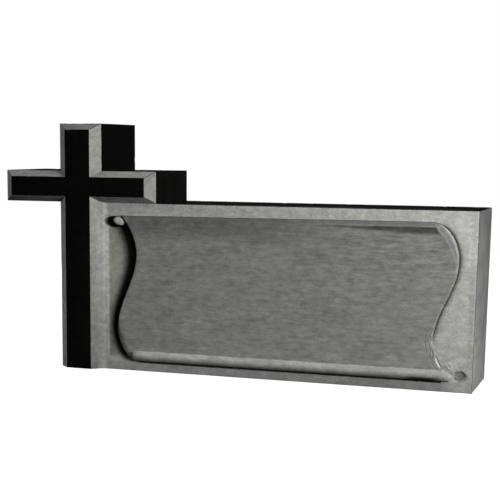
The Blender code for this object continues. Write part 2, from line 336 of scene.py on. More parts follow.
# Painted shadow line under the top border
TOP_SHADOW_LINE_Z = (SHEET_TOP - 0.0022, SHEET_TOP - 0.0004)
TOP_SHADOW_LINE_TONE = 0.60
LIT_CORNER_X = (0.132, 0.146, 0.008)
LIT_CORNER_Z = (0.337, 0.350, 0.006)
LIT_CORNER_TONE = 1.45
BUSY_ALONG = (0.45, 0.85)
BUSY_Z = (0.20, 0.28)
BUSY_STREAK = 1.7
WALL_TONES = (0.50, 0.92)
WALL_OLIVE = 0.3
WALL_STREAK = 0.2
CURL_TONE_GAIN = 1.5
# Painted highlight lines along the edges of the facet at the top right corner
LENS_TONE = 0.46
LENS_INNER_LINE = 0.16
LENS_INNER_HIGHLIGHT = 0.24
LENS_OUTER_LINE = (0.72, 0.88)
LENS_OUTER_HIGHLIGHT = 0.36
LENS_DULL_MIDDLE = 0.48
LENS_DULL_HALF = 0.22
LENS_DULL_LOSS = 0.07
LENS_LIT_GAIN = 1.6
CURL_LIT_RUN = (0.003, 0.007)
CURL_LIT_GAIN = 1.8
FACET_STREAK = 0.3
PAD_TONE = 1.15
# Painted shade in the gap between the roll end and the sheet
PAD_GAP_SHADE_TONE = 0.20
PAD_SPECKLE = 0.30
PAD_OLIVE = 0.4
PAD_STREAK = 0.2
END_TONES = (1.21, 0.634)


def clamp01(value):
    return max(0.0, min(1.0, value))


def smooth(value):
    value = clamp01(value)
    return value * value * (3.0 - 2.0 * value)


def ramp(value, start, end):
    """Zero at start and one at end, with soft turns; start may be the higher one."""
    return smooth((value - start) / (end - start))


def mix(start, end, share):
    return start + (end - start) * share


def window(value, low, high, blend):
    """One between low and high, with soft ends of width blend."""
    return smooth((value - low) / blend + 0.5) * smooth((high - value) / blend + 0.5)


def fractal(x, layer, z, scale):
    return noise.fractal(Vector((x, layer, z)) * scale, 1.0, 2.0, 3)


def uneven(x, layer, z, scale, middle, swing):
    """A share from none to one that wanders about its middle from place to place."""
    return clamp01(middle + swing * fractal(x, layer, z, scale))


# Outline of the sheet

def sheet_reach(height, swing, flare, flare_span, flare_curve):
    if height < BULGE_HEIGHT:
        share = clamp01((BULGE_HEIGHT - height) / BULGE_HEIGHT)
        return CORNER_RUN * (1.0 - math.sqrt(1.0 - share * share))
    if height < WAIST_HEIGHT:
        turn = math.pi * (height - BULGE_HEIGHT) / (WAIST_HEIGHT - BULGE_HEIGHT)
        return swing * (0.5 - 0.5 * math.cos(turn))
    return swing - flare * ((height - WAIST_HEIGHT) / flare_span) ** flare_curve


def left_edge(z):
    height = min(max(z, BOTTOM_BORDER), SHEET_TOP) - BOTTOM_BORDER
    reach = sheet_reach(height, SWING_LEFT, FLARE_LEFT, FLARE_SPAN_LEFT, FLARE_CURVE_LEFT)
    return SHEET_BULGE_LEFT + reach


def right_edge(z):
    height = min(SHEET_TOP - max(z, BOTTOM_BORDER), WAIST_HEIGHT + FLARE_SPAN_RIGHT)
    height = max(height, 0.0)
    reach = sheet_reach(height, SWING_RIGHT, FLARE_RIGHT, FLARE_SPAN_RIGHT, FLARE_CURVE_RIGHT)
    return SHEET_BULGE_RIGHT - reach


def slab_end(z):
    return SLAB_END - END_TAPER * (1.0 - z / SLAB_HEIGHT)


def lifted(x, z):
    """The sheet's top edge rises towards the right, and the levels near it go along."""
    lift = TOP_LIFT * clamp01((x - TOP_LIFT_START) / (TOP_LIFT_END - TOP_LIFT_START))
    if z > SHEET_TOP:
        return z + lift * (SLAB_HEIGHT - z) / (SLAB_HEIGHT - SHEET_TOP)
    return z + lift * (z / SHEET_TOP) ** 4


# Depths of the carved face behind the slab's front plane

def facet_size(strength):
    return mix(FACET_LEAST_RUN, FACET_RUN, strength), mix(FACET_LEAST_DROP, FACET_DROP, strength)


def corner_facet(height):
    return 1.0 - smooth(abs(height - BULGE_HEIGHT / 2.0) / FACET_HALF_SPAN)


def lens_strength(z):
    """The facet at the top right corner starts in a tip, widens fast and runs out slowly."""
    below = SHEET_TOP - z
    tip = mix(LENS_TIP_STRENGTH, 1.0, smooth(below / LENS_TIP)) * ramp(below, *LENS_TOP_BLEND)
    return tip * (1.0 - smooth((below - LENS_BELOW_TOP) / LENS_SPAN))


def right_facet(z):
    strength = lens_strength(z)
    run = mix(FACET_LEAST_RUN, LENS_RUN, strength)
    drop = mix(FACET_LEAST_DROP, FACET_DROP, strength)
    curl = 1.0 - smooth(abs(z - CURL_HEIGHT) / CURL_HALF_SPAN)
    return max(run, CURL_RUN * curl), max(drop, CURL_DROP * curl)


def lens_start(z):
    return right_edge(z) - right_facet(z)[0]


def along_sheet(x):
    return clamp01((x - SHEET_BULGE_LEFT) / (SHEET_BULGE_RIGHT - SHEET_BULGE_LEFT))


def groove_share(x, below):
    """Strength of the hollow under the rolled-back top, which fades towards the left."""
    share = along_sheet(x)
    strength = ramp(share, GROOVE_START, GROOVE_FULL)
    width = mix(GROOVE_THIN, GROOVE_WIDE, ramp(share, *GROOVE_WIDENS))
    floor = GROOVE_FLOOR * ramp(share, *GROOVE_FLATTENS)
    past_edge = below - GROOVE_BELOW_TOP
    lens = smooth((lens_start(SHEET_TOP - below) - x) / GROOVE_LENS_BLEND)
    fall = 1.0 - smooth((past_edge - GROOVE_EDGE - floor) / width)
    return lens * strength * smooth(past_edge / GROOVE_EDGE) * fall


def rolled_top(x, z):
    below = SHEET_TOP - z
    depth = 0.0
    if below < BEAD_HEIGHT:
        share = 1.0 - below / BEAD_HEIGHT
        depth = BEAD_FALL * share * share
    return depth + GROOVE_DEPTH * groove_share(x, below)


def ripples(x, z):
    inward = right_edge(z) - x
    strength = window(z, RIPPLE_LOW, RIPPLE_HIGH, RIPPLE_ENDS_BLEND)
    strength *= window(inward, RIPPLE_START, RIPPLE_SPAN, RIPPLE_SIDES_BLEND)
    if strength <= 0.0:
        return 0.0
    strength *= uneven(x, RIPPLE_LAYER, z * RIPPLE_Z, *RIPPLE_UNEVEN)
    wander = RIPPLE_SWAY * math.sin(z * RIPPLE_SWAY_RATE)
    wander += RIPPLE_WANDER * fractal(x, WANDER_LAYER, z * WANDER_Z, WANDER_SCALE)
    turn = 2.0 * math.pi * (inward + wander) / RIPPLE_PITCH
    return RIPPLE_DEPTH * strength * (0.5 - 0.5 * math.cos(turn))


def sheet_depth(x, z):
    slot = ROLL_SLOT * (1.0 - smooth((z - BOTTOM_BORDER) / ROLL_SLOT_HEIGHT))
    wave = SHEET_WAVE * fractal(x, WAVE_LAYER, z * WAVE_Z, WAVE_SCALE)
    return -SHEET_RISE + rolled_top(x, z) + slot + ripples(x, z) + wave


def ground_blend(z):
    return smooth((z - BOTTOM_BORDER) / GROUND_BLEND) * smooth((SHEET_TOP - z) / GROUND_BLEND)


def waist_share(height):
    return smooth((height - BULGE_HEIGHT) / (WAIST_HEIGHT - BULGE_HEIGHT))


def left_ground(z, share):
    deepest = mix(LEFT_GROUND_AT_BULGE, LEFT_GROUND_AT_WAIST, waist_share(z - BOTTOM_BORDER))
    return deepest * ground_blend(z) * share ** LEFT_GROUND_CURVE


def right_ground(z, share, from_wall):
    deepest = mix(RIGHT_GROUND_AT_BULGE, RIGHT_GROUND_AT_WAIST, waist_share(SHEET_TOP - z))
    fade = ramp(z, *RIGHT_GROUND_SINKS)
    groove = RIGHT_GROOVE_DEPTH * math.exp(-from_wall / RIGHT_GROOVE_WIDTH) * fade
    sunk_share = share ** RIGHT_GROUND_CURVE
    return (mix(RIGHT_GROUND_FOOT, deepest, fade) * sunk_share + groove) * ground_blend(z)


def ellipse_reach(x, z, centre_x, centre_z, half_width, half_height):
    return math.hypot((x - centre_x) / half_width, (z - centre_z) / half_height)


def hollow_depth(x, z):
    reach = ellipse_reach(x, z, HOLLOW_X, PAD_Z - HOLLOW_BELOW_PAD,
                          HOLLOW_HALF_WIDTH, HOLLOW_HALF_HEIGHT)
    return HOLLOW_DEPTH * smooth((1.0 - reach) * HOLLOW_STEEPNESS)


def pocket_depth(x, z):
    reach = ellipse_reach(x, z, POCKET_X, POCKET_Z, POCKET_HALF_WIDTH, POCKET_HALF_HEIGHT)
    reach += POCKET_EDGE_WANDER * fractal(x, POCKET_EDGE_LAYER, z, POCKET_EDGE_SCALE)
    strength = smooth((1.0 - reach) * POCKET_STEEPNESS)
    rough = POCKET_ROUGHNESS * fractal(x, POCKET_FLOOR_LAYER, z, POCKET_FLOOR_SCALE)
    return strength * (POCKET_DEPTH + rough)


def ridge_share(x, z):
    share = 0.0
    for centre_x, centre_z, radius in TIP_RIDGES:
        if x > centre_x - RIDGE_START and z > centre_z - RIDGE_FOOT:
            reach = math.hypot(x - centre_x, z - centre_z)
            reach += RIDGE_WANDER * fractal(x, RIDGE_LAYER, z, RIDGE_SCALE)
            share = max(share, 1.0 - smooth(abs(reach - radius) / RIDGE_WIDTH))
    return share * uneven(x, RIDGE_UNEVEN_LAYER, z, *RIDGE_UNEVEN)


def pad_front(x, z):
    across = (x - PAD_X) * math.cos(PAD_TILT) + (z - PAD_Z) * math.sin(PAD_TILT)
    rise = (z - PAD_Z) * math.cos(PAD_TILT) - (x - PAD_X) * math.sin(PAD_TILT)
    reach = math.hypot(across / PAD_HALF_WIDTH, rise / PAD_HALF_HEIGHT)
    if reach >= 1.0:
        return None
    gap = 1.0 - smooth((left_edge(z) - x) / PAD_GAP)
    return PAD_BEHIND + PAD_THICKNESS * (1.0 - math.sqrt(1.0 - reach ** 4) + gap)


def roll_front(x, z):
    top = ROLL_RADIUS * clamp01((ROLL_TIP - x) / ROLL_TOP_TAPER) ** ROLL_TIP_CURVE
    foot = ROLL_RADIUS * math.sqrt(clamp01((ROLL_TIP - x) / ROLL_FOOT_TAPER))
    start = clamp01((x - ROLL_START) / ROLL_START_ROUND)
    opening = math.sqrt(1.0 - (1.0 - start) ** 2)
    top *= opening
    foot *= opening
    half = (top + foot) / 2.0
    if half < ROLL_LEAST_HALF:
        return None
    offset = (z - ROLL_HEIGHT - (top - foot) / 2.0) / half
    if abs(offset) >= 1.0:
        return None
    return ROLL_DEPTH - half * math.sqrt(1.0 - offset * offset)


def sunk(depth, hollow):
    """Sink a place by a hollow, of which a lowered ground already holds a part."""
    return depth + max(0.0, hollow - max(depth, 0.0))


def carve(x, z, depth):
    """Add the hollows and the rolls to a depth of the ground or the sheet."""
    depth = sunk(sunk(depth, hollow_depth(x, z)), pocket_depth(x, z))
    reach = ellipse_reach(x, z, RIM_X, RIM_Z, RIM_HALF_WIDTH, RIM_HALF_HEIGHT)
    rim = smooth(RIM_STEEPNESS * (1.0 - reach))
    if rim > 0.0:
        depth -= RIM_RISE * rim * uneven(x, RIM_LAYER, z, *RIM_UNEVEN)
    depth -= RIDGE_RISE * ridge_share(x, z)
    for front in (roll_front(x, z), pad_front(x, z)):
        if front is not None:
            depth = min(depth, front)
    return depth


# Finish of each place on the carved face: tone, which also holds painted light and shade, olive
# share, streaks

def foot_shade(z):
    """Painted shade: the stone gets darker towards its foot, where less light falls."""
    return mix(FOOT_SHADE_TONE, 1.0, ramp(z, *FOOT_SHADE_SPAN))


def border_finish_and_shading(x, z):
    # Painted shade darker towards the left end, a painted shadow under the roll and a painted
    # highlight on the lip below the top border
    along = along_sheet(x)
    low = 1.0 - ramp(z, *BORDER_FOOT)
    roll_shadow = low * (1.0 - ramp(x, *BORDER_ROLL_SHADOW))
    tone = mix(BORDER_LEFT_SHADE, 1.0, along) * foot_shade(z) * mix(1.0, BORDER_FOOT_TONE, low)
    tone = mix(tone, mix(*BORDER_ROLL_SHADOW_TONES, along ** BORDER_ROLL_SHADOW_CURVE), roll_shadow)
    lit_lip = window(z, *LIT_LIP_Z) * window(x, *LIT_LIP_X)
    return tone * mix(1.0, LIT_LIP_TONE, lit_lip), mix(*BORDER_OLIVES, roll_shadow), BORDER_STREAK


def shaft_bevel_tone(z):
    return SHAFT_RIGHT_BEVEL[0] * foot_shade(z) ** SHAFT_BEVEL_CURVE


def left_finish_and_shading(x, z):
    """The cove with its painted highlight stripe, the olive ground, the painted shadow band beside
    the sheet and painted shade in the hollow.
    """
    tone, olive, streak = border_finish_and_shading(x, z)
    blend = window(z, *LEFT_GROUND_Z)
    inside = blend * ramp(x, *LEFT_GROUND_X)
    tone = mix(tone, mix(*LEFT_GROUND_TONES, ramp(z, *LEFT_GROUND_FADE)), inside)
    across_cove = (x - COVE_START) / (COVE_END - COVE_START)
    tone = mix(shaft_bevel_tone(z), tone, smooth(across_cove + COVE_BLEND_START))
    # Painted highlight stripe along the cove
    tone = mix(tone, mix(*HIGHLIGHT_STRIPE_TONES, ramp(z, *HIGHLIGHT_STRIPE_FADE)), window(x, *HIGHLIGHT_STRIPE_X))
    # Painted shadow band along the sheet's left edge
    reach = mix(*SHADOW_REACHES, waist_share(z - BOTTOM_BORDER))
    reach += SHADOW_TOP_REACH * ramp(z, *SHADOW_TOP)
    dark = blend * (1.0 - ramp((left_edge(z) - x) / reach, *SHADOW_ACROSS))
    # Painted shade that deepens with the hollow's depth
    hollow_shade = mix(*HOLLOW_SHADE_TONES, ramp(x, *HOLLOW_SHADE_X_FADE))
    tone *= mix(1.0, SHADOW_TONE, dark)
    tone *= mix(1.0, hollow_shade, smooth(hollow_depth(x, z) / HOLLOW_SHADE_AT))
    return tone, mix(olive, 1.0, inside), streak


def roll_stands(x, z, depth):
    front = roll_front(x, z)
    return front is not None and front < depth


def roll_finish_and_shading(x, z):
    # Painted shade on the roll's underside, with a painted shadow line and blob beneath it
    low = clamp01((ROLL_HEIGHT - z) / ROLL_RADIUS)
    tip = ramp(x, *ROLL_TIP_FADE)
    tone = mix(*ROLL_TONES, along_sheet(x) ** ROLL_TONE_CURVE)
    tone *= mix(1.0, mix(*ROLL_UNDERSIDE_SHADE_TONES, tip), ramp(z, *ROLL_SHADED_UNDERSIDE))
    tone *= mix(ROLL_START_TONE, 1.0, ramp(x, *ROLL_START_FADE))
    shade = window(x, *ROLL_SHADE_X) * ramp(low, *ROLL_SHADE_LOW)
    line = ramp(low, *ROLL_SHADOW_LINE_LOW) * mix(1.0, ROLL_SHADOW_LINE_AT_TIP, tip)
    return tone * mix(1.0, ROLL_SHADOW_TONE, max(shade, line)), ROLL_OLIVE, ROLL_STREAK


def right_finish_and_shading(x, z):
    if roll_stands(x, z, ROLL_STANDS_ABOVE_GROUND):
        return roll_finish_and_shading(x, z)
    tone, olive, streak = border_finish_and_shading(x, z)
    tone *= mix(1.0, RIGHT_LOWER_TONE, 1.0 - ramp(z, *RIGHT_LOWER))
    tone *= mix(*RIGHT_UPPER_TONES, ramp(z, *RIGHT_UPPER) * ground_blend(z))
    # Painted shade patch near the sheet's lower right waist
    tone *= mix(1.0, SHADE_PATCH_TONE, window(x, *SHADE_PATCH_X) * window(z, *SHADE_PATCH_Z))
    tone *= mix(1.0, END_STRIP_TONE, ramp(x - slab_end(z), *END_STRIP))
    # Painted shade in the groove along the foot of the sheet's right wall
    from_wall = max(0.0, x - right_edge(z))
    groove = math.exp(-from_wall / RIGHT_GROOVE_WIDTH)
    groove = groove * ramp(z, *RIGHT_GROOVE_SHADE_FADE) * ground_blend(z)
    tone *= mix(1.0, RIGHT_GROOVE_SHADE_TONE, groove)
    # Painted shade in the rough pocket, by its depth
    rough = clamp01(pocket_depth(x, z) / POCKET_SHADE_AT)
    tone = mix(tone, POCKET_SHADE_TONE, rough * POCKET_SHADE_SHARE)
    tone *= mix(1.0, RIDGE_TONE, ridge_share(x, z))
    return tone, olive, streak


def sheet_finish_and_shading(x, z):
    if roll_stands(x, z, sheet_depth(x, z)):
        return roll_finish_and_shading(x, z)
    share = along_sheet(x)
    tone = mix(*SHEET_TONES, smooth(share / SHEET_TONES_END))
    tone *= mix(SHEET_FOOT_TONE, 1.0, ramp(z, *SHEET_FOOT))
    shade = ramp(z, *SHEET_SHADE_Z) * (1.0 - ramp(share, *SHEET_SHADE_ALONG))
    tone *= mix(1.0, SHEET_SHADE_TONE, shade) * mix(1.0, SHEET_UPPER_TONE, ramp(z, *SHEET_UPPER))
    # Painted shade in the hollow under the rolled-back top
    tone *= mix(1.0, GROOVE_SHADE_TONE, groove_share(x, SHEET_TOP - z))
    bead = ramp(z, *BEAD_Z)
    tone *= mix(1.0, mix(*BEAD_TONES, share), bead)
    # Painted shadow line under the top border
    tone *= mix(1.0, TOP_SHADOW_LINE_TONE, ramp(z, *TOP_SHADOW_LINE_Z))
    lit_corner = window(x, *LIT_CORNER_X) * window(z, *LIT_CORNER_Z)
    tone *= mix(1.0, LIT_CORNER_TONE, lit_corner)
    busy = ramp(share, *BUSY_ALONG) * ramp(z, *BUSY_Z)
    streak = mix(mix(1.0, BUSY_STREAK, busy), BEAD_STREAK, bead)
    return tone, max(BEAD_OLIVE * bead, lit_corner), streak


def wall_finish_and_shading(z):
    """The narrow lit wall at the sheet's right edge, brightest where the sheet's foot curls."""
    # Painted light: brighter where the sheet's foot curls
    curl = 1.0 - smooth(abs(z - CURL_HEIGHT) / CURL_HALF_SPAN)
    return mix(*WALL_TONES, smooth(curl * CURL_TONE_GAIN)), WALL_OLIVE, WALL_STREAK


def wall_or_roll(x, z, depth, on_frame, finish_and_shading):
    if on_frame:
        return border_finish_and_shading(x, z)
    return roll_finish_and_shading(x, z) if roll_stands(x, z, depth) else finish_and_shading


def lens_tone(share):
    """Tone across the facet, from its inner line to the sheet's edge, with painted highlight lines
    along the inner edge and near the sheet's edge.
    """
    inner_highlight = 1.0 - smooth(share / LENS_INNER_LINE)
    outer_highlight = ramp(share, *LENS_OUTER_LINE)
    dull = 1.0 - smooth(abs(share - LENS_DULL_MIDDLE) / LENS_DULL_HALF)
    lines = LENS_TONE + LENS_INNER_HIGHLIGHT * inner_highlight + LENS_OUTER_HIGHLIGHT * outer_highlight
    return lines - LENS_DULL_LOSS * dull


def pad_finish_and_shading(x, z, finish_and_shading):
    if pad_front(x, z) is None:
        return finish_and_shading
    # Painted shade in the gap between the roll end and the sheet
    gap = smooth((left_edge(z) - x) / PAD_GAP)
    speckle = 1.0 + PAD_SPECKLE * fractal(x, PAD_LAYER, z, PAD_SPECKLE_SCALE)
    return PAD_TONE * speckle * mix(PAD_GAP_SHADE_TONE, 1.0, gap), PAD_OLIVE, PAD_STREAK


# Grid of the carved face

def spaced(start, end, count, crowd=0.0):
    """Places from start, left out, to end, crowded towards the end by crowd."""
    return [mix(start, end, 1.0 - (1.0 - index / count) ** (1.0 + crowd))
            for index in range(1, count + 1)]


def row_heights(fine):
    rows = [*FOOT_ROWS, BOTTOM_BORDER - STEP_GAP, BOTTOM_BORDER, BOTTOM_BORDER + STEP_GAP]
    for high, count in ROW_BANDS:
        rows += spaced(rows[-1], high, max(LEAST_BAND_ROWS, int(count * fine)))
    return rows + [SHEET_TOP, SHEET_TOP + STEP_GAP, *HEAD_ROWS, SLAB_HEIGHT]


def cove_points():
    slope = math.atan2(BEVEL_DEPTH, BEVEL_RUN_UPRIGHT)
    radius = COVE_TANGENT / math.tan(slope / 2.0)
    points = []
    for index in range(COVE_STEPS + 1):
        angle = slope * (1.0 - index / COVE_STEPS)
        points.append((COVE_END - radius * math.sin(angle), -radius * (1.0 - math.cos(angle))))
    return points


def wall_points(edge, outward, foot_depth, top_depth):
    """From the wall's foot to the sheet: a leaning wall with a rounded arris."""
    middle, arris, top = [edge + outward * WALL_LEAN * share for share in WALL_LEAN_SHARES]
    return [
        (middle, mix(foot_depth, top_depth, 0.5)),
        (arris, top_depth + ARRIS_ROUND),
        (top, top_depth + ARRIS_ROUND * ARRIS_TOP_SHARE),
    ]


def sheet_stations(left, left_run, left_drop, right, right_run, right_drop, fine):
    """Places across the sheet, each with the drop of the sloping facet there."""
    inner_left = left + left_run
    inner_right = right - right_run
    near = inner_right - RIPPLE_SPAN - RIPPLE_MARGIN
    stations = [(x, left_drop * clamp01(1.0 - (x - left) / left_run) ** FACET_CURVE_LEFT)
                for x in spaced(left, inner_left, FACET_COLUMNS_LEFT)]
    stations += [(x, 0.0) for x in spaced(inner_left, near, int(SHEET_COLUMNS * fine))]
    stations += [(x, 0.0) for x in spaced(near, inner_right, int(RIPPLE_COLUMNS * fine))]
    stations += [(x, right_drop * clamp01((x - inner_right) / right_run) ** FACET_CURVE_RIGHT)
                 for x in spaced(inner_right, right, FACET_COLUMNS_RIGHT)]
    return stations


def facet_finish_and_shading(x, z, drop, inner_right, right_run):
    """The sheet's tones, with painted light and shade; on the right facet, the lens's painted
    highlight tones above and the curl's painted light below.
    """
    tone, olive, streak = sheet_finish_and_shading(x, z)
    if drop <= 0.0 or x <= inner_right:
        return tone, olive, streak
    across = clamp01((x - inner_right) / right_run)
    if z > 0.5 * SLAB_HEIGHT:
        lit = smooth(LENS_LIT_GAIN * lens_strength(z))
        tone = mix(tone, lens_tone(across), lit)
    else:
        lit = ramp(right_run, *CURL_LIT_RUN) * smooth(across * CURL_LIT_GAIN)
        tone = mix(tone, wall_finish_and_shading(z)[0], lit)
    return tone, olive, mix(streak, FACET_STREAK, lit)


def row_points(z, fine):
    """One level of the face: x, depth and finish from the cove to the slab's right end."""
    on_frame = z <= BOTTOM_BORDER or z >= SHEET_TOP
    left = left_edge(z)
    right = right_edge(z)
    end = slab_end(z)
    ground_count = int(GROUND_COLUMNS * fine)
    row = []

    def add(x, depth, finish_and_shading):
        row.append((x, 0.0 if on_frame else depth, finish_and_shading))

    for x, depth in cove_points():
        row.append((x, depth if on_frame else sunk(depth, hollow_depth(x, z)), left_finish_and_shading(x, z)))
    foot = left - WALL_LEAN
    for x in spaced(COVE_END, foot, ground_count, CROWDING_LEFT):
        share = clamp01((x - COVE_END) / (foot - COVE_END))
        add(x, carve(x, z, left_ground(z, share)), pad_finish_and_shading(x, z, left_finish_and_shading(x, z)))
    left_run, left_drop = facet_size(corner_facet(z - BOTTOM_BORDER))
    left_top = left_drop + sheet_depth(left, z)
    for x, depth in wall_points(left, -1, row[-1][1], left_top):
        add(x, depth, wall_or_roll(x, z, depth, on_frame, sheet_finish_and_shading(x, z)))
    right_run, right_drop = right_facet(z)
    for x, drop in sheet_stations(left, left_run, left_drop, right, right_run, right_drop, fine):
        if on_frame:
            finish_and_shading = border_finish_and_shading(x, z)
        else:
            finish_and_shading = facet_finish_and_shading(x, z, drop, right - right_run, right_run)
        add(x, carve(x, z, drop + sheet_depth(x, z)), finish_and_shading)
    foot = right + WALL_LEAN
    side = []
    for x in spaced(end, foot, ground_count, CROWDING_RIGHT):
        share = clamp01((end - x) / (end - foot))
        depth = carve(x, z, right_ground(z, share, x - foot))
        side.append((x, depth, right_finish_and_shading(x, z)))
    right_top = row[-1][1]
    for x, depth in reversed(wall_points(right, 1, side[-1][1], right_top)):
        add(x, carve(x, z, depth), wall_or_roll(x, z, depth, on_frame, wall_finish_and_shading(z)))
    for x, depth, finish_and_shading in reversed(side):
        add(x, depth, finish_and_shading)
    add(end, 0.0, right_finish_and_shading(end, z))
    return row


# Block

POLISHED, DRESSED, SAWN = range(3)

# Tone, olive share and streaks of the flat faces; the tones also paint light and shade per face,
# lighter on the left-facing bevels and darker on the others
SHAFT_TOP_BEVEL = (0.62, 0.3, 0.1)
ARM_TOP_LEFT_BEVEL = (0.78, 0.3, 0.1)
ARM_TOP_RIGHT_BEVEL = (0.89, 0.3, 0.1)
ARM_FOOT_LEFT_BEVEL = (0.47, 0.3, 0.1)
ARM_FOOT_RIGHT_BEVEL = (0.56, 0.3, 0.1)
SHAFT_LEFT_BEVEL = (1.95, 0.1, 0.1)
ARM_END_LEFT_BEVEL = (1.70, 0.1, 0.1)
SHAFT_TOP_LEFT_BEVEL = (1.62, 0.1, 0.1)
UNFADED_BEVELS = (SHAFT_LEFT_BEVEL, ARM_END_LEFT_BEVEL, SHAFT_TOP_LEFT_BEVEL)
SHAFT_RIGHT_BEVEL = (0.72, 0.25, 0.1)
ARM_END_BEVEL = (0.60, 0.25, 0.1)
PLAIN = (1.0, 0.0, 0.0)
# Painted shade that darkens the polished right side of the shaft above the arm
SHADED_SHAFT_SIDE = (0.25, 0.0, 0.0)


class Block:
    """Collects welded corners and faces of the whole stone in one mesh."""

    def __init__(self):
        self.shape = bmesh.new()
        # Per corner: tone, which also holds painted light and shade, olive share and streaks
        self.finish_and_shading = self.shape.loops.layers.float_color.new("finish_and_shading")
        self.corners = {}

    def corner(self, point):
        key = tuple(round(value, 6) for value in point)
        if key not in self.corners:
            self.corners[key] = self.shape.verts.new(point)
        return self.corners[key]

    # Each corner's finish tuple carries its tone with painted light and shade
    def face(self, points, material, finishes, is_smooth=False):
        corners = [self.corner(point) for point in points]
        face = self.shape.faces.new(corners)
        face.material_index = material
        face.smooth = is_smooth
        if isinstance(finishes, tuple):
            finishes = [finishes] * len(points)
        for loop, finish_and_shading in zip(face.loops, finishes):
            loop[self.finish_and_shading] = (finish_and_shading[0], finish_and_shading[1], finish_and_shading[2], 1.0)
        return face


def add_face_grid(block, fine):
    """The carved face; returns its corners row by row and the column below the arm's right end."""
    heights = row_heights(fine)
    rows = [row_points(z, fine) for z in heights]
    top = rows[-1]
    arm_column = min(range(len(top)), key=lambda column: abs(top[column][0] - ARM_END_RIGHT))
    top[arm_column] = (ARM_END_RIGHT, *top[arm_column][1:])
    points = []
    for z, row in zip(heights, rows):
        level = []
        for x, depth, finish_and_shading in row:
            y = BEVEL_DEPTH + depth
            height = lifted(x, z)
            if z == SLAB_HEIGHT and y < BEVEL_DEPTH:
                height = ARM_FACE_BOTTOM - BEVEL_RUN_LEVEL * y / BEVEL_DEPTH
            level.append((x, y, height))
        points.append(level)
    for level in range(len(rows) - 1):
        for column in range(len(top) - 1):
            places = [(level, column), (level, column + 1),
                      (level + 1, column + 1), (level + 1, column)]
            finishes = [rows[row][place][2] for row, place in places]
            block.face([points[row][place] for row, place in places], DRESSED, finishes, True)
    return points, arm_column


def end_finish(z):
    """The slab's sawn end is evenly darker towards its top."""
    return (mix(*END_TONES, z / SLAB_HEIGHT), 0.0, 0.0)


def add_sides(block, points, arm_column):
    """Every flat face of the stone: cross, bevels, top, end, back and underside."""
    run, rise, back = BEVEL_RUN_UPRIGHT, BEVEL_RUN_LEVEL, BLOCK_DEPTH
    corners = [
        (0.0, 0.0, -1, 0), (0.0, ARM_FACE_BOTTOM, -1, -1),
        (ARM_FACE_LEFT, ARM_FACE_BOTTOM, -1, -1), (ARM_FACE_LEFT, ARM_FACE_TOP, -1, 1),
        (0.0, ARM_FACE_TOP, -1, 1), (0.0, SHAFT_FACE_TOP, -1, 1),
        (SHAFT_FACE_WIDTH, SHAFT_FACE_TOP, 1, 1), (SHAFT_FACE_WIDTH, ARM_FACE_TOP, 1, 1),
        (ARM_FACE_RIGHT, ARM_FACE_TOP, 1, 1), (ARM_FACE_RIGHT, ARM_FACE_BOTTOM, 1, -1),
        (SHAFT_FACE_WIDTH, ARM_FACE_BOTTOM, 1, -1), (SHAFT_FACE_WIDTH, 0.0, 1, 0),
    ]
    front = [(x, 0.0, z) for x, z, along, up in corners]
    outline = [(x + along * run, z + up * rise) for x, z, along, up in corners]
    bevels = [SHAFT_LEFT_BEVEL, ARM_FOOT_LEFT_BEVEL, ARM_END_LEFT_BEVEL, ARM_TOP_LEFT_BEVEL,
              SHAFT_TOP_LEFT_BEVEL, SHAFT_TOP_BEVEL, SHAFT_RIGHT_BEVEL, ARM_TOP_RIGHT_BEVEL,
              ARM_END_BEVEL]
    sides = [SAWN, SAWN, SAWN, POLISHED, SAWN, POLISHED, POLISHED, POLISHED, POLISHED]
    block.face(front[::-1], POLISHED, PLAIN)
    for index, finish_and_shading in enumerate(bevels):
        (x0, z0), (x1, z1) = outline[index], outline[index + 1]
        heights = (front[index][2], front[index + 1][2], z1, z0)
        # Painted shade towards the foot, left out on the left-facing bevels
        fades = [1.0 if finish_and_shading in UNFADED_BEVELS else foot_shade(z) for z in heights]
        finishes = [(finish_and_shading[0] * fade, finish_and_shading[1], finish_and_shading[2]) for fade in fades]
        near = [(x1, BEVEL_DEPTH, z1), (x0, BEVEL_DEPTH, z0)]
        far = [(x1, back, z1), (x0, back, z0)]
        block.face([front[index], front[index + 1], *near], DRESSED, finishes)
        # Painted shade on the shaft's polished right side
        side_finish_and_shading = SHADED_SHAFT_SIDE if finish_and_shading is SHAFT_RIGHT_BEVEL else PLAIN
        block.face([*near[::-1], *far], sides[index], side_finish_and_shading)
    top_row = points[-1]
    block.face([front[9], front[10]] + top_row[:arm_column + 1], DRESSED, ARM_FOOT_RIGHT_BEVEL)
    left_column = [level[0] for level in points]
    # Painted shade towards the foot on the shaft's right bevel
    shaft_finish_and_shading = [(shaft_bevel_tone(place[2]), SHAFT_RIGHT_BEVEL[1], SHAFT_RIGHT_BEVEL[2])
                    for place in [front[10], front[11]] + left_column]
    block.face([front[10], front[11]] + left_column, DRESSED, shaft_finish_and_shading)
    end_column = [level[-1] for level in points]
    top_back = [(SLAB_END, back, SLAB_HEIGHT), (ARM_END_RIGHT, back, SLAB_HEIGHT)]
    block.face(top_row[arm_column:] + top_back, POLISHED, PLAIN)
    end_back = [(slab_end(0.0), back, 0.0)]
    for low in range(0, len(end_column) - 1, END_BAND_ROWS):
        strip = end_column[low:low + END_BAND_ROWS + 1]
        end_back.append((strip[-1][0], back, strip[-1][2]))
        places = strip[::-1] + end_back[-2:]
        block.face(places, SAWN, [end_finish(z) for x, y, z in places])
    behind = [(x, back, z) for x, z in outline[:10]]
    block.face(behind + end_back[::-1], SAWN, PLAIN)
    shoulder_left = (outline[0][0], BEVEL_DEPTH, 0.0)
    shaft_foot = [front[11], front[0], shoulder_left, behind[0]]
    block.face([end_back[0]] + points[0][::-1] + shaft_foot, SAWN, PLAIN)


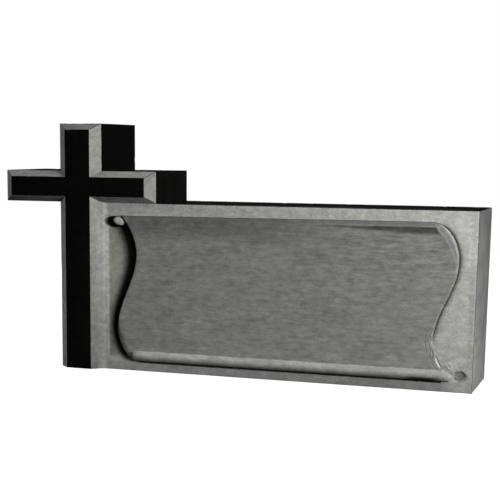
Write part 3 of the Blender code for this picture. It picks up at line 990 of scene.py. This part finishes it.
def arris_pieces(edge):
    """Split an edge in short pieces, so that losses along it can be small."""
    count = max(1, int(edge.calc_length() / ARRIS_STEP))
    anchor = edge.verts[0]
    pieces = [edge]
    for left in range(count, 1, -1):
        edge, vertex = bmesh.utils.edge_split(edge, anchor, 1.0 / left)
        pair = list(vertex.link_edges)
        pieces.extend(item for item in pair if item not in pieces[-3:])
        edge = next(item for item in pair if anchor not in item.verts)
        anchor = vertex
    return pieces


def ease_arrises(block):
    """Round every outer arris a little, with small irregular losses."""
    shape = block.shape
    bmesh.ops.recalc_face_normals(shape, faces=shape.faces)
    outer = [edge for edge in shape.edges if len(edge.link_faces) == 2
             and not all(face.smooth for face in edge.link_faces)
             and edge.is_convex and edge.calc_face_angle(0.0) > ARRIS_LEAST_ANGLE]
    split = [piece for edge in outer for piece in arris_pieces(edge)]
    edges = list({edge for edge in split if edge.is_valid})
    result = bmesh.ops.bevel(shape, geom=edges, offset=ARRIS_WIDTH, offset_type="OFFSET",
                             segments=2, profile=0.5, affect="EDGES", clamp_overlap=False)
    for face in result["faces"]:
        face.smooth = True
    for vertex in {vertex for face in result["faces"] for vertex in face.verts}:
        loss = ramp(fractal(*vertex.co, CHIP_SCALE), *CHIP_LEVELS)
        vertex.co -= vertex.normal * CHIP_DEPTH * loss


def build_stone(materials):
    fine = 1.0
    block = Block()
    points, arm_column = add_face_grid(block, fine)
    add_sides(block, points, arm_column)
    ease_arrises(block)
    to_frame = (-X_MIDDLE, -BLOCK_DEPTH / 2.0, 0.0)
    bmesh.ops.translate(block.shape, verts=block.shape.verts, vec=to_frame)
    mesh = bpy.data.meshes.new("granite_block")
    block.shape.to_mesh(mesh)
    block.shape.free()
    for material in materials:
        mesh.materials.append(material)
    mesh.set_sharp_from_angle(angle=SMOOTH_ANGLE)
    stone = bpy.data.objects.new("granite_block", mesh)
    bpy.context.scene.collection.objects.link(stone)
    return stone


# Materials

class Nodes:
    """Small helper to lay out a material's nodes."""

    def __init__(self, material):
        material.use_nodes = True
        self.tree = material.node_tree
        self.shader = self.tree.nodes["Principled BSDF"]
        self.coordinates = self.tree.nodes.new("ShaderNodeTexCoord").outputs["Object"]

    def link(self, source, target):
        self.tree.links.new(source, target)

    def stretch(self, scale):
        node = self.tree.nodes.new("ShaderNodeMapping")
        node.inputs["Scale"].default_value = scale
        self.link(self.coordinates, node.inputs["Vector"])
        return node.outputs["Vector"]

    def noise(self, scale, stretch=(1.0, 1.0, 1.0), detail=3.0, roughness=0.55):
        node = self.tree.nodes.new("ShaderNodeTexNoise")
        node.inputs["Scale"].default_value = scale
        node.inputs["Detail"].default_value = detail
        node.inputs["Roughness"].default_value = roughness
        self.link(self.stretch(stretch), node.inputs["Vector"])
        return node.outputs["Fac"]

    def cells(self, scale):
        node = self.tree.nodes.new("ShaderNodeTexVoronoi")
        node.inputs["Scale"].default_value = scale
        self.link(self.coordinates, node.inputs["Vector"])
        return node.outputs["Color"]

    def ranged(self, value, low, high, start=0.3, end=0.7):
        node = self.tree.nodes.new("ShaderNodeMapRange")
        node.inputs["From Min"].default_value = start
        node.inputs["From Max"].default_value = end
        node.inputs["To Min"].default_value = low
        node.inputs["To Max"].default_value = high
        self.link(value, node.inputs["Value"])
        return node.outputs["Result"]

    def math(self, operation, first, second):
        node = self.tree.nodes.new("ShaderNodeMath")
        node.operation = operation
        for socket, value in zip(node.inputs, (first, second)):
            if isinstance(value, (int, float)):
                socket.default_value = value
            else:
                self.link(value, socket)
        return node.outputs["Value"]

    def blend(self, share, first, second):
        node = self.tree.nodes.new("ShaderNodeMix")
        node.data_type = "RGBA"
        self.link(share, node.inputs[0])
        for socket, value in ((node.inputs[6], first), (node.inputs[7], second)):
            if isinstance(value, tuple):
                socket.default_value = (*value, 1.0)
            else:
                self.link(value, socket)
        return node.outputs[2]

    def scaled(self, colour, factor):
        node = self.tree.nodes.new("ShaderNodeVectorMath")
        node.operation = "SCALE"
        self.link(colour, node.inputs[0])
        self.link(factor, node.inputs["Scale"])
        return node.outputs["Vector"]

    def finish_and_shading(self):
        node = self.tree.nodes.new("ShaderNodeAttribute")
        node.attribute_name = "finish_and_shading"
        parts = self.tree.nodes.new("ShaderNodeSeparateColor")
        self.link(node.outputs["Color"], parts.inputs["Color"])
        return parts.outputs["Red"], parts.outputs["Green"], parts.outputs["Blue"]

    def bump(self, height, strength, distance):
        node = self.tree.nodes.new("ShaderNodeBump")
        node.inputs["Strength"].default_value = strength
        node.inputs["Distance"].default_value = distance
        self.link(height, node.inputs["Height"])
        self.link(node.outputs["Normal"], self.shader.inputs["Normal"])


def dressed_material():
    material = bpy.data.materials.new("granite_dressed")
    nodes = Nodes(material)
    tone, olive, streak = nodes.finish_and_shading()
    grain = nodes.noise(420.0, detail=3.0, roughness=0.65)
    cloud = nodes.noise(38.0, detail=5.0, roughness=0.6)
    long_streaks = nodes.noise(190.0, stretch=(0.16, 1.0, 1.0), detail=4.0, roughness=0.6)
    broad_streaks = nodes.noise(60.0, stretch=(0.12, 1.0, 1.0), detail=4.0)
    mottle = nodes.noise(110.0, stretch=(0.5, 1.0, 1.0), detail=3.0, roughness=0.6)
    variation = nodes.math("MULTIPLY", nodes.ranged(grain, 0.76, 1.24),
                           nodes.ranged(cloud, 0.86, 1.14))
    variation = nodes.math("MULTIPLY", variation, nodes.ranged(mottle, 0.84, 1.16))
    lines = nodes.math("MULTIPLY", nodes.ranged(long_streaks, 0.86, 1.14),
                       nodes.ranged(broad_streaks, 0.90, 1.10))
    lines = nodes.math("POWER", lines, streak)
    shade = nodes.math("MULTIPLY", nodes.math("MULTIPLY", variation, lines), tone)
    colour = nodes.blend(olive, BASE_GREY, OLIVE_GREY)
    nodes.link(nodes.scaled(colour, shade), nodes.shader.inputs["Base Color"])
    nodes.link(nodes.ranged(grain, 0.72, 0.88), nodes.shader.inputs["Roughness"])
    nodes.shader.inputs["Specular IOR Level"].default_value = DULL_SPECULAR
    height = nodes.math("ADD", nodes.math("MULTIPLY", long_streaks, streak),
                        nodes.math("MULTIPLY", grain, 0.45))
    nodes.bump(height, 0.35, 0.0006)
    return material


def polished_material():
    material = bpy.data.materials.new("granite_polished")
    nodes = Nodes(material)
    flecks = nodes.ranged(nodes.cells(650.0), 0.3, 1.0, 0.50, 1.0)
    cloud = nodes.noise(60.0, detail=3.0)
    tone = nodes.finish_and_shading()[0]
    shade = nodes.math("MULTIPLY", flecks, nodes.ranged(cloud, 0.4, 1.0))
    shade = nodes.math("MULTIPLY", shade, tone)
    nodes.link(nodes.blend(shade, POLISHED_DARK, POLISHED_LIGHT), nodes.shader.inputs["Base Color"])
    nodes.link(nodes.ranged(cloud, 0.10, 0.17), nodes.shader.inputs["Roughness"])
    nodes.shader.inputs["Specular IOR Level"].default_value = POLISHED_SPECULAR
    nodes.bump(nodes.noise(9.0, detail=1.0), 0.05, 0.002)
    return material


def sawn_material():
    material = bpy.data.materials.new("granite_sawn")
    nodes = Nodes(material)
    grain = nodes.noise(380.0, detail=2.0)
    cloud = nodes.noise(18.0, detail=4.0)
    drags = nodes.noise(120.0, stretch=(1.0, 1.0, 0.06), detail=4.0)
    shade = nodes.math("MULTIPLY", nodes.ranged(grain, 0.86, 1.14), nodes.ranged(cloud, 0.86, 1.14))
    shade = nodes.math("MULTIPLY", shade, nodes.ranged(drags, 0.80, 1.20))
    shade = nodes.math("MULTIPLY", shade, nodes.finish_and_shading()[0])
    colour = nodes.blend(cloud, SAWN_COLD, SAWN_WARM)
    nodes.link(nodes.scaled(colour, shade), nodes.shader.inputs["Base Color"])
    nodes.link(nodes.ranged(grain, 0.62, 0.80), nodes.shader.inputs["Roughness"])
    nodes.shader.inputs["Specular IOR Level"].default_value = DULL_SPECULAR
    nodes.bump(nodes.math("ADD", drags, nodes.math("MULTIPLY", grain, 0.4)), 0.30, 0.0006)
    return material


# Floor, light and camera

FLOOR_SIZE = 14.0
FLOOR_GLOW = 0.93
FLOOR_GREY = (0.22, 0.22, 0.22)
FLOOR_ROUGHNESS = 0.9
# How far up a direction points where the surroundings' brightness starts and stops to change,
# with its two levels
AMBIENT_RISE = (-0.25, 0.65)
AMBIENT_LEVELS = (0.04, 0.36)
MIRRORED_RISE = (0.25, 0.95)
MIRRORED_LEVELS = (0.010, 0.55)
LIGHT_COLOUR = (1.0, 0.995, 0.98)
LIGHT_DISTANCE = 2.5
KEY_AZIMUTH = 62.0
KEY_ELEVATION = 15.0
KEY_SIZE = 0.85
KEY_POWER = 105.0
FILL_AZIMUTH = 215.0
FILL_ELEVATION = 25.0
FILL_SIZE = 1.6
FILL_POWER = 85.0
CAMERA_PLACE = (0.9063, -2.6168, 0.5066)
CAMERA_YAW = 18.654
CAMERA_PITCH = 7.077
CAMERA_ROLL = 0.403
CAMERA_LENS = 88.63
CAMERA_SHIFT = 0.10


def build_floor():
    half = FLOOR_SIZE / 2.0
    mesh = bpy.data.meshes.new("floor")
    corners = [(-half, -half, 0.0), (half, -half, 0.0), (half, half, 0.0), (-half, half, 0.0)]
    mesh.from_pydata(corners, [], [(0, 1, 2, 3)])
    floor = bpy.data.objects.new("floor", mesh)
    bpy.context.scene.collection.objects.link(floor)
    material = bpy.data.materials.new("pale_floor")
    material.use_nodes = True
    shader = material.node_tree.nodes["Principled BSDF"]
    shader.inputs["Base Color"].default_value = (*FLOOR_GREY, 1.0)
    shader.inputs["Roughness"].default_value = FLOOR_ROUGHNESS
    shader.inputs["Specular IOR Level"].default_value = 0.0
    shader.inputs["Emission Color"].default_value = (1.0, 1.0, 1.0, 1.0)
    shader.inputs["Emission Strength"].default_value = FLOOR_GLOW
    mesh.materials.append(material)
    floor.visible_diffuse = False
    floor.visible_glossy = False
    return floor


def build_world():
    """White to the camera, soft light from above for surfaces, dark sides for what they mirror."""
    world = bpy.data.worlds.new("studio")
    bpy.context.scene.world = world
    world.use_nodes = True
    tree = world.node_tree
    background = tree.nodes["Background"]
    path = tree.nodes.new("ShaderNodeLightPath")
    direction = tree.nodes.new("ShaderNodeTexCoord")
    parts = tree.nodes.new("ShaderNodeSeparateXYZ")
    tree.links.new(direction.outputs["Generated"], parts.inputs["Vector"])

    def by_height(rise, levels):
        node = tree.nodes.new("ShaderNodeMapRange")
        for name, value in zip(("From Min", "From Max", "To Min", "To Max"), (*rise, *levels)):
            node.inputs[name].default_value = value
        tree.links.new(parts.outputs["Z"], node.inputs["Value"])
        return node.outputs["Result"]

    mirrored = tree.nodes.new("ShaderNodeMix")
    tree.links.new(path.outputs["Is Glossy Ray"], mirrored.inputs[0])
    tree.links.new(by_height(AMBIENT_RISE, AMBIENT_LEVELS), mirrored.inputs[2])
    tree.links.new(by_height(MIRRORED_RISE, MIRRORED_LEVELS), mirrored.inputs[3])
    seen = tree.nodes.new("ShaderNodeMix")
    tree.links.new(path.outputs["Is Camera Ray"], seen.inputs[0])
    tree.links.new(mirrored.outputs[0], seen.inputs[2])
    seen.inputs[3].default_value = 1.0
    tree.links.new(seen.outputs[0], background.inputs["Strength"])
    background.inputs["Color"].default_value = (1.0, 1.0, 1.0, 1.0)


def aim(item, target):
    item.rotation_euler = (Vector(target) - item.location).to_track_quat("-Z", "Y").to_euler()


def build_light(name, azimuth, elevation, size, power, middle_y):
    """A soft square light; azimuth runs from straight in front towards the right end."""
    light = bpy.data.lights.new(name, "AREA")
    light.shape = "SQUARE"
    light.size = size
    light.energy = power
    light.color = LIGHT_COLOUR
    lamp = bpy.data.objects.new(name, light)
    turn = math.radians(azimuth)
    rise = math.radians(elevation)
    reach = LIGHT_DISTANCE * math.cos(rise)
    lamp.location = (reach * math.sin(turn), middle_y - reach * math.cos(turn),
                     SLAB_HEIGHT / 2.0 + LIGHT_DISTANCE * math.sin(rise))
    aim(lamp, (0.0, middle_y, SLAB_HEIGHT / 2.0))
    bpy.context.scene.collection.objects.link(lamp)
    lamp.visible_camera = False
    lamp.visible_glossy = False


def build_camera():
    data = bpy.data.cameras.new("camera")
    data.sensor_width = 36.0
    data.lens = CAMERA_LENS
    data.shift_y = CAMERA_SHIFT
    data.clip_start = 0.05
    data.clip_end = 60.0
    camera = bpy.data.objects.new("camera", data)
    turn = Matrix.Rotation(math.radians(CAMERA_YAW), 4, "Z")
    tilt = Matrix.Rotation(math.radians(90.0 - CAMERA_PITCH), 4, "X")
    roll = Matrix.Rotation(math.radians(CAMERA_ROLL), 4, "Z")
    camera.matrix_world = Matrix.Translation(CAMERA_PLACE) @ turn @ tilt @ roll
    bpy.context.scene.collection.objects.link(camera)
    bpy.context.scene.camera = camera


def main():
    stone = build_stone([polished_material(), dressed_material(), sawn_material()])
    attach(stone, "root")
    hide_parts("tombstone")
    floor = build_floor()
    build_world()
    build_light("key", KEY_AZIMUTH, KEY_ELEVATION, KEY_SIZE, KEY_POWER, -BLOCK_DEPTH / 2.0)
    build_light("fill", FILL_AZIMUTH, FILL_ELEVATION, FILL_SIZE, FILL_POWER, BLOCK_DEPTH / 2.0)
    build_camera()
    bpy.context.scene.view_settings.view_transform = "Standard"


main()
